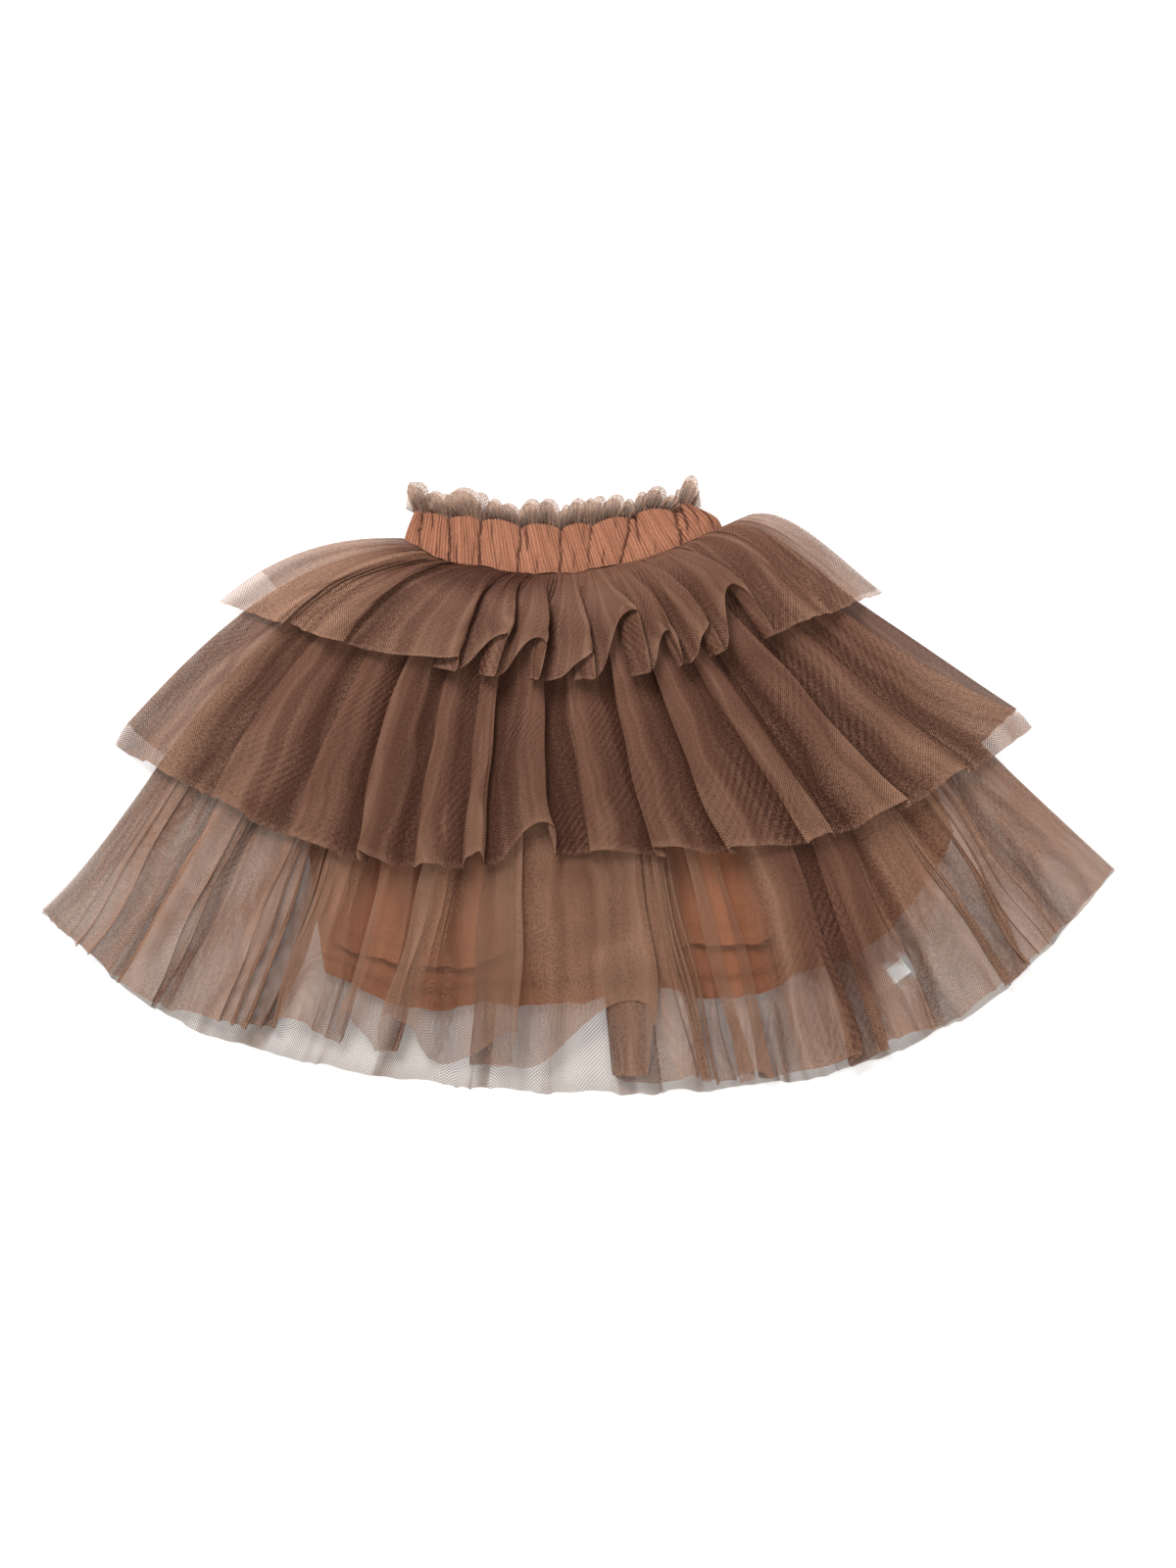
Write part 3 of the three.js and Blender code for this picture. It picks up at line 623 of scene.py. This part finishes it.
def cotton_material(name, crease_shade_strength, knit, colours):
    """Terracotta cotton: a plain weave, slubs, and shade painted into its creases, strongest on the band; on
    the lining also its hem stitching.
    """
    n = Nodes(name)
    vector, u, v = n.uv()
    warp = n.math("SINE", n.math("MULTIPLY", u, TURN / knit))
    weft = n.math("SINE", n.math("MULTIPLY", v, TURN / knit))
    weave = n.math("MULTIPLY", warp, weft)
    slubs = n.noise(vector, 420, 4, 0.65)
    clouds = n.noise(vector, 16, 3)
    crease = n.attribute("crease")
    tone = n.math("MULTIPLY_ADD", n.span(slubs, 0.3, 0.7), 0.45, n.span(clouds, 0.3, 0.7, 0.0, 0.45))
    tone = n.math("MULTIPLY_ADD", weave, 0.16, tone, clamp=True)
    cloth = n.blend(tone, *colours)
    creased = n.blend(n.math("MULTIPLY", crease, crease_shade_strength), cloth, CREASE_SHADE_AND_STITCH)
    n.join(creased, n.shader.inputs["Base Color"])
    n.shader.inputs["Roughness"].default_value = 0.85
    n.shader.inputs["Specular IOR Level"].default_value = 0.2
    n.shader.inputs["Sheen Weight"].default_value = 0.25
    n.shader.inputs["Sheen Tint"].default_value = (0.9, 0.6, 0.45, 1)
    n.bump(n.math("MULTIPLY_ADD", slubs, 1.2, n.math("MULTIPLY", weave, 0.4)), 0.0004, 0.6)
    return n.material


def ribbon_material():
    """Plain white woven ribbon."""
    n = Nodes("ribbon")
    vector, _, v = n.uv()
    ribs = n.math("SINE", n.math("MULTIPLY", v, TURN / RIBBON_RIB))
    tone = n.span(n.noise(vector, 300, 3), 0.3, 0.7)
    n.join(n.blend(tone, *RIBBON_WHITES), n.shader.inputs["Base Color"])
    n.shader.inputs["Roughness"].default_value = 0.6
    n.shader.inputs["Sheen Weight"].default_value = 0.2
    n.bump(ribs, 0.0002, 0.5)
    return n.material


NET = net_material("net", NET_SHEER)
NET_BACK = net_material("net_back", NET_SINGLE)
NET_LIGHT = net_material("net_light", NET_LOOPS)
LINING_COLOURS = (0.26, 0.085, 0.038, 1), (0.39, 0.145, 0.07, 1)
BAND_COLOURS = (0.32, 0.128, 0.071, 1), (0.48, 0.215, 0.13, 1)
COTTON_LINING = cotton_material("cotton_lining", 0.5, LINING_KNIT, LINING_COLOURS)
COTTON_BAND = cotton_material("cotton_band", 0.9, BAND_KNIT, BAND_COLOURS)
RIBBON = ribbon_material()


def keep(piece, node):
    """The piece rides on the skirt's one body and stands for its solid."""
    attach(piece, "root")
    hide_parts(node)


# The woven label: its size, its middle and how high it lies, in mm, and its turn
LABEL = dict(long=27.5, high=11.5, x=213, y=-128, low=3.5, turn=math.radians(37))
# Where the label's end shows: the middle of the place, and half its length and height
LABEL_SHOWS = dict(x=220, y=-122.5, long=8.5, high=7.0)
LABEL_BEND = 0.25
LABEL_GRID = (40, 16)

# The nets of the tiers' backs, each with its thin layers painted in a lighter tint for the light through
# them; the fronts are of the plain one
BACK_NETS = {"tier1_back": NET_BACK, "tier2_back": NET_LIGHT, "tier3_back": NET_BACK}
# How far the holes of a hem's last two rows are closed
HEM_CLOSED = 0.3


def build_tier(sheet):
    points, side, ruck, deep = tier_grid(sheet)
    u, v = cloth_lengths(points)
    g = GATHER[sheet["name"]]
    thin = mix(g["thin"], 1, smooth(0, THIN_LEFT, side) * smooth(0, THIN_RIGHT, 1 - side))
    density = g["layers"] * thin * (density_of(points, u) + RUCK_DENSE * ruck)
    if sheet["name"] in DRAPES:
        drape = along(side, DRAPES[sheet["name"]])
        if sheet["name"] == "tier3_front":
            drape = mix(drape, along(side, HEM_DRAPE), smooth(*HEM_DRAPE_SPAN, v / v.max()))
        density = density * drape
    if sheet["name"] == "tier3_front":
        # the net is clear where the label's end shows
        dx, dy = points[..., 0] - LABEL_SHOWS["x"], points[..., 1] - LABEL_SHOWS["y"]
        lean = LABEL["turn"]
        length = np.abs(dx * math.cos(lean) + dy * math.sin(lean)) / LABEL_SHOWS["long"]
        height = np.abs(dy * math.cos(lean) - dx * math.sin(lean)) / LABEL_SHOWS["high"]
        density = density * smooth(0.9, 1.15, np.maximum(length, height))
    hem = np.zeros((points.shape[0], 1))
    hem[-2:] = HEM_CLOSED
    floats = net_values(density, hem, deep, (u, v), g["seed"])
    net = BACK_NETS.get(sheet["name"], NET)
    piece = grid_mesh(sheet["name"] + "_net", points, (u, v), floats, net)
    keep(piece, sheet["name"])


# Creases of the linings: across share, down share, length, depth in mm, and how far they slant
LINING_CREASES = [
    (0.12, 0.75, 0.5, 2.0, 0.03), (0.24, 0.6, 0.6, 1.5, -0.02), (0.36, 0.85, 0.4, 2.2, 0.02),
    (0.47, 0.7, 0.5, 1.6, 0.03), (0.58, 0.8, 0.45, 2.4, -0.03), (0.69, 0.65, 0.6, 1.8, 0.02),
    (0.8, 0.8, 0.4, 2.0, -0.02), (0.91, 0.7, 0.5, 1.4, 0.02),
]
LINING_CREASE_WIDE = 0.012
LINING_DENT = 0.6

# How far each lining's hem falls short of its lowest line, from left to right, as a share of a tier's length
LINING_HEMS = {
    "lining_front": [0.06, 0.03, 0.0, 0.02, 0.09, 0.12, 0.0, 0.05, 0.02, 0.1, 0.05, 0.16, 0.14],
    "lining_back": [0.12, 0.05, 0.0, 0.04, 0.0, 0.02, 0.07, 0.02, 0.0, 0.06, 0.03, 0.08, 0.1],
}
LINING_RAGGED = 0.015
LINING_FOLDS = 5
LINING_GRID = (360, 90)
# How far in from the lining's hem its stitching runs, and how wide it is, in metres
HEM_TURNED = 0.012
STITCH_WIDE = 0.0008


def build_lining(sheet, seed):
    columns, rows = LINING_GRID
    u, v = np.meshgrid(np.linspace(0, 1, columns + 1), np.linspace(0, 1, rows + 1))
    t = mix(sheet["root"], sheet["hem"], v) + (hem_at(sheet, u) - sheet["hem"]) * v**6
    t = t - (along(u, LINING_HEMS[sheet["name"]]) + LINING_RAGGED * wander(u * 6, seed)) * v**3
    s = mix(inset(sheet, "left", t), 1 - inset(sheet, "right", t), u)
    ridge = fold_lift(sheet, s, t) * (1 - np.cos(TURN * (LINING_FOLDS * u + 0.3 * wander(u * 3, seed)))) / 2
    crease = np.zeros_like(u)
    dent = np.zeros_like(u)
    for place, down, long, deep, slant in LINING_CREASES:
        off = (u - place - slant * (v - down)) / LINING_CREASE_WIDE
        reach = np.exp(-(((v - down) / (long / 2)) ** 2))
        dent += deep * 0.5 * np.exp(-(off**2) / 4) * reach
        crease = np.maximum(crease, np.exp(-(off**2)) * reach * 0.8)
    z = level(sheet, s, t) + sheet["wall"] / 2 + ridge - np.minimum(dent, LINING_DENT)
    z = z + 1.5 * v**8 + 0.4 * wander(u * 11 + 0.6 * v, seed + 1) + 0.25 * wander(v * 6 + 2 * u, seed + 2)
    x, y = fan_point(s, t)
    points = np.stack([x, y, z], axis=-1)
    uc, vc = cloth_lengths(points)
    stitched = np.exp(-(((float(vc.max()) - vc - HEM_TURNED) / STITCH_WIDE) ** 2)) * 0.8
    # crease is the painted shade along the creases, with the hem's stitching
    crease = np.maximum(crease * 0.6, stitched)
    piece = grid_mesh(sheet["name"] + "_cloth", points, (uc, vc), {"crease": crease}, COTTON_LINING)
    keep(piece, sheet["name"])


# Where the band's puffs part, as shares of its width at its top and its lower edge
BAND_PARTINGS = [
    (0.0, 0.0), (0.035, 0.049), (0.138, 0.146), (0.258, 0.233), (0.4, 0.36), (0.534, 0.49), (0.633, 0.577),
    (0.774, 0.681), (0.93, 0.871), (1, 1),
]
# How deep each parting is, and how high each puff stands over the top edge
PARTING_DEPTHS = [0.3, 0.8, 1.0, 1.0, 0.9, 0.8, 0.45, 1.0, 1.0, 0.3]
PUFF_HEIGHTS = [0.2, 0.5, 0.7, 0.9, 1.0, 0.9, 0.8, 1.2, 1.1]
# Shorter creases: where they are at the top and the lower edge, where they start and end up the band, and
# how deep they are
BAND_CREASES = [
    (0.075, 0.085, 0.5, 1.1, 0.7), (0.1, 0.105, -0.1, 0.4, 0.5), (0.17, 0.165, -0.1, 0.5, 0.5),
    (0.2, 0.19, 0.3, 0.8, 0.35), (0.235, 0.215, -0.1, 0.6, 0.5), (0.3, 0.27, 0.5, 1.1, 0.5),
    (0.335, 0.3, -0.1, 0.45, 0.4), (0.42, 0.387, 0.35, 1.1, 0.8), (0.45, 0.42, -0.1, 0.5, 0.4),
    (0.49, 0.455, 0.6, 1.1, 0.35), (0.58, 0.53, -0.1, 0.55, 0.4), (0.61, 0.56, 0.5, 1.1, 0.4),
    (0.69, 0.62, -0.1, 0.5, 0.45), (0.72, 0.65, 0.6, 1.1, 0.4), (0.79, 0.745, 0.3, 1.1, 0.8),
    (0.85, 0.79, -0.1, 0.4, 0.35), (0.945, 0.9, 0.2, 1.1, 0.8), (0.965, 0.935, 0.3, 1.1, 0.7),
    (0.985, 0.97, 0.1, 0.9, 0.6),
]
BAND_SCALLOP = 4.5
# How far the band's right end puffs outwards and upwards
END_PUFF = (5.5, 3.0)
# How far the band's lower edge reaches over the net
BAND_EDGE = 1.1
BAND_RIBS = 98
BAND_GRID = (900, 40)
# A rib's height and a parting's depth in mm, and a crease's width as a share of the band's
RIB_HIGH = 0.4
PARTING_DEEP = 1.1
CREASE_WIDE = 0.004
# How high the back of the band starts, and the lowest place of band and frill, in mm
BAND_BACK_LOW = 0.4
BACK_LOW = 0.3


def puffs_at(s, q):
    """Which puff each point is on, counted from the left, with the share across it as the fraction."""
    place = np.empty_like(s)
    low = np.array([parting[1] for parting in BAND_PARTINGS])
    high = np.array([parting[0] for parting in BAND_PARTINGS])
    for row in range(s.shape[0]):
        bends = 0.004 * wander(q[row, 0] * 1.3 + np.arange(len(low)) * 0.37, 8)
        bends[[0, -1]] = 0
        place[row] = np.interp(s[row], mix(low, high, q[row, 0]) + bends, np.arange(len(low)))
    return place


def band_point(s, q):
    low, high = edge_point("band", s), edge_point("top", s)
    place = puffs_at(s, q)
    puff = np.minimum(place.astype(int), len(PUFF_HEIGHTS) - 1)
    scallop = np.abs(np.sin(np.pi * place)) ** 0.6 * np.array(PUFF_HEIGHTS)[puff]
    end = smooth(0.88, 1, s) * np.sin(np.pi * np.clip(q, 0, 1))
    laps = BAND_EDGE * (1 + wander(s * 5.3, 12)) * (1 - smooth(0, 0.4, q))
    x = mix(low[0], high[0], q) + END_PUFF[0] * end
    raised = BAND_SCALLOP * (scallop - 0.3) * smooth(0.3, 1, q)
    y = mix(low[1], high[1], q) + raised + END_PUFF[1] * end - laps
    return x, y


def build_band(front):
    columns, rows = BAND_GRID
    s, q = np.meshgrid(np.linspace(0, 1, columns + 1), np.linspace(1, 0, rows + 1))
    place = puffs_at(s, q)
    puff = np.abs(np.sin(np.pi * place)) ** 0.7
    parting = np.round(place).astype(int)
    wide = np.gradient(s, axis=1) / np.maximum(np.gradient(place, axis=1), 1e-6)
    off = np.abs(place - parting) * wide
    uneven = np.clip(0.85 + 0.35 * wander(q * 1.7 + parting * 0.61, 11), 0.2, 1)
    depth = np.array(PARTING_DEPTHS)[parting] * uneven
    crease = depth * np.exp(-((off / CREASE_WIDE) ** 1.3))
    for top, low, start, end, deep in BAND_CREASES:
        line = mix(low, top, q) + 0.003 * wander(q * 1.1 + 9 * top, 5)
        reach = smooth(start, start + 0.25, q) * (1 - smooth(end - 0.25, end, q))
        crease = np.maximum(crease, deep * reach * np.exp(-((np.abs(s - line) / (0.8 * CREASE_WIDE)) ** 1.3)))
    ribs = np.sin(TURN * (BAND_RIBS * s + 0.4 * wander(s * 9, 5) + 0.12 * wander(q * 0.8 + 6 * s, 6)))
    strength = np.clip(0.75 + 0.4 * wander(s * 23 + 0.3 * q, 7), 0.25, 1.1)
    root = level(SHEET["tier1_front"], s, np.full_like(s, SEWN))
    low = mix(root, BACK_BAND_HIGH + CLEAR, smooth(0, 1, q)) if front else BAND_BACK_LOW
    puffed = 1.6 * BAND_PUFF * puff * mix(0.5, 1, q)
    z = low + COTTON_WALL + puffed + RIB_HIGH * ribs * strength - PARTING_DEEP * crease
    x, y = band_point(s, q)
    y = y + RIB_HIGH * ribs * strength * smooth(0.8, 1, q)
    points = np.stack([x, y, np.maximum(z, BACK_LOW)], axis=-1)
    uc, vc = cloth_lengths(points)
    # painted shade in the valleys between the ribs and in the creases and partings
    painted_shade = np.clip(0.68 * (0.5 - 0.5 * ribs) * strength + 1.4 * crease, 0, 1)
    name = "band_front" if front else "band_back"
    piece = grid_mesh(name + "_cloth", points, (uc, vc), {"crease": painted_shade}, COTTON_BAND)
    keep(piece, name)


# The frill's loops from left to right: where each ends across it, and how high it stands
FRILL_LOOPS = [
    (0.085, 21), (0.165, 17), (0.3, 20), (0.345, 14), (0.41, 13.5), (0.47, 17), (0.53, 18), (0.562, 15),
    (0.61, 17), (0.675, 19), (0.74, 15.5), (0.776, 12.5), (0.815, 15), (0.885, 15.5), (0.93, 9.5), (1.0, 19),
]
# How high it stands between two loops, as a share of the frill's height there
FRILL_BASE = 0.08
# How far its holes are closed at least
FRILL_COVER = 0.5
# How much wider a loop is at its top
FRILL_BULGE = 1.3
# Its small pleats: how many there are, how far they sway and how high they stand
FRILL_PLEATS = 90
PLEAT_SWING = 0.15
PLEAT_HIGH = 1.2
# How much lower the back's loops are, and how far they are shifted
FRILL_BACK_HIGH = 0.88
FRILL_BACK_SHIFT = 0.22
# How far it is tucked into the band in mm, and how much it fans out along the band's length
FRILL_TUCK = 0.7
FRILL_FAN = 0.05
BAND_LONG = 218
# How high its loops rise, and how much higher the front's stand than the back's
LOOP_LIFT = 3.6
FRONT_LIFT = 3.2
FRILL_GRID = (1100, 14)


def build_frill(front):
    columns, rows = FRILL_GRID
    share, up = np.meshgrid(np.linspace(0, 1, columns + 1), np.linspace(1, 0, rows + 1))
    ends = np.array([0] + [loop[0] for loop in FRILL_LOOPS])
    count = len(FRILL_LOOPS)
    a = np.interp(share * count, np.arange(count + 1), ends)
    phase = share * count + (0 if front else FRILL_BACK_SHIFT)
    number = np.minimum(phase.astype(int), count - 1)
    wide = np.diff(ends)[number]
    small = TURN * (FRILL_PLEATS * a + 0.8 * wander(a * 8.1, 4 if front else 9))
    inner = smooth(0, 0.03, a) * smooth(0, 0.03, 1 - a)
    # each loop is wider at its top than at the seam, and laps over its neighbours
    bulge = -FRILL_BULGE * wide / TURN * np.sin(TURN * phase)
    s = a + (bulge + PLEAT_SWING / (TURN * FRILL_PLEATS) * np.sin(small)) * up * inner
    x, y = band_point(s, np.ones_like(s))
    loop = np.abs(np.sin(np.pi * phase)) ** 0.7
    tall = np.array([row[1] for row in FRILL_LOOPS])[number] * (1 if front else FRILL_BACK_HIGH)
    between = FRILL_BASE * form_at("frill", a)
    high = between + (tall - between) * loop
    fan = FRILL_FAN * (s - 0.5) * BAND_LONG * up
    lift = LOOP_LIFT * loop + (FRONT_LIFT if front else 0)
    low = (BACK_BAND_HIGH + CLEAR) if front else BACK_LOW
    z = low + NET_WALL / 2 + lift * smooth(0, 0.7, up) + PLEAT_HIGH * (0.5 + 0.5 * np.sin(small)) * up
    points = np.stack([x + fan, y - FRILL_TUCK + (high + FRILL_TUCK) * up, z], axis=-1)
    uc, vc = cloth_lengths(points)
    edge = smooth(0.85, 1.0, up) * 0.4
    density = density_of(points, uc) * mix(1.0, 0.8, up)
    name = "frill_front" if front else "frill_back"
    # painted shade: at the loops' bases, between the loops, and darker and lighter across the small pleats
    deep = 0.5 * (1 - loop) + 0.5 * (1 - up) ** 1.5 + 0.3 * np.sin(small)
    floats = net_values(density, edge, deep, (uc, vc), 3.3, FRILL_COVER)
    piece = grid_mesh(name + "_net", points, (uc, vc), floats, NET_LIGHT)
    keep(piece, name)


def build_label():
    columns, rows = LABEL_GRID
    a, b = np.meshgrid(np.linspace(-0.5, 0.5, columns + 1), np.linspace(-0.5, 0.5, rows + 1))
    turn = LABEL["turn"]
    px, py = a * LABEL["long"], -b * LABEL["high"]
    x = LABEL["x"] + px * math.cos(turn) - py * math.sin(turn)
    y = LABEL["y"] + px * math.sin(turn) + py * math.cos(turn)
    z = LABEL["low"] + LABEL_BEND * np.cos(a * 7)
    points = np.stack([x, y, z], axis=-1)
    uv = (a * LABEL["long"] * MM, b * LABEL["high"] * MM)
    piece = grid_mesh("label_ribbon", points, uv, {}, RIBBON)
    keep(piece, "label")


# Floor, light and camera. The photo's frame is 804 by 1072 mm, looked at from straight above.
FRAME_WIDE = 0.804
FRAME_TALL = 1.072
LOOK_AT = (0.0067, 0.0040)
CAMERA_HIGH = 2.4
SENSOR = 36
SEEN_TO = 20
FLOOR_HALF = 3.0
FLOOR_WHITE = (0.92, 0.92, 0.92, 1)
FLOOR_GLOW = 0.35
# Both lamps are square and turned to the middle of the skirt
LAMPS = [
    dict(name="key", place=(-0.9, 1.9, 1.7), size=1.1, power=96),
    dict(name="fill", place=(1.2, -0.6, 1.8), size=1.6, power=14),
]
SKY_COLOUR = (1.0, 0.94, 0.88, 1)
SKY_STRENGTH = 0.4
# How many layers of net a ray of light passes through, and how often it is thrown back
LAYERS_PASSED = 96
BOUNCES = 8


def build_floor():
    n = Nodes("floor")
    n.shader.inputs["Base Color"].default_value = FLOOR_WHITE
    n.shader.inputs["Roughness"].default_value = 0.9
    n.shader.inputs["Emission Color"].default_value = (1, 1, 1, 1)
    n.shader.inputs["Emission Strength"].default_value = FLOOR_GLOW
    size = FLOOR_HALF
    mesh = bpy.data.meshes.new("floor")
    corners = [(-size, -size, 0), (size, -size, 0), (size, size, 0), (-size, size, 0)]
    mesh.from_pydata(corners, [], [(0, 1, 2, 3)])
    mesh.materials.append(n.material)
    floor = bpy.data.objects.new("floor", mesh)
    scene.collection.objects.link(floor)


def build_lights():
    for row in LAMPS:
        light = bpy.data.lights.new(row["name"], "AREA")
        light.shape = "SQUARE"
        light.size = row["size"]
        light.energy = row["power"]
        lamp = bpy.data.objects.new(row["name"], light)
        lamp.location = row["place"]
        lamp.rotation_euler = (-Vector(row["place"])).to_track_quat("-Z", "Y").to_euler()
        scene.collection.objects.link(lamp)
    world = bpy.data.worlds.new("studio")
    world.use_nodes = True
    background = world.node_tree.nodes["Background"]
    background.inputs["Color"].default_value = SKY_COLOUR
    background.inputs["Strength"].default_value = SKY_STRENGTH
    scene.world = world


def build_camera():
    data = bpy.data.cameras.new("camera")
    data.sensor_fit = "VERTICAL"
    data.sensor_height = SENSOR
    data.lens = data.sensor_height * CAMERA_HIGH / FRAME_TALL
    data.clip_end = SEEN_TO
    camera = bpy.data.objects.new("camera", data)
    camera.location = (*LOOK_AT, CAMERA_HIGH)
    scene.collection.objects.link(camera)
    scene.camera = camera


build_camera()
build_lights()
build_floor()
for sheet in SHEETS:
    if sheet["name"].startswith("tier"):
        build_tier(sheet)
build_lining(SHEET["lining_back"], 3.1)
build_lining(SHEET["lining_front"], 6.4)
for front in (True, False):
    build_band(front)
    build_frill(front)
build_label()

scene.view_settings.view_transform = "Standard"
scene.cycles.transparent_max_bounces = LAYERS_PASSED
scene.cycles.max_bounces = BOUNCES
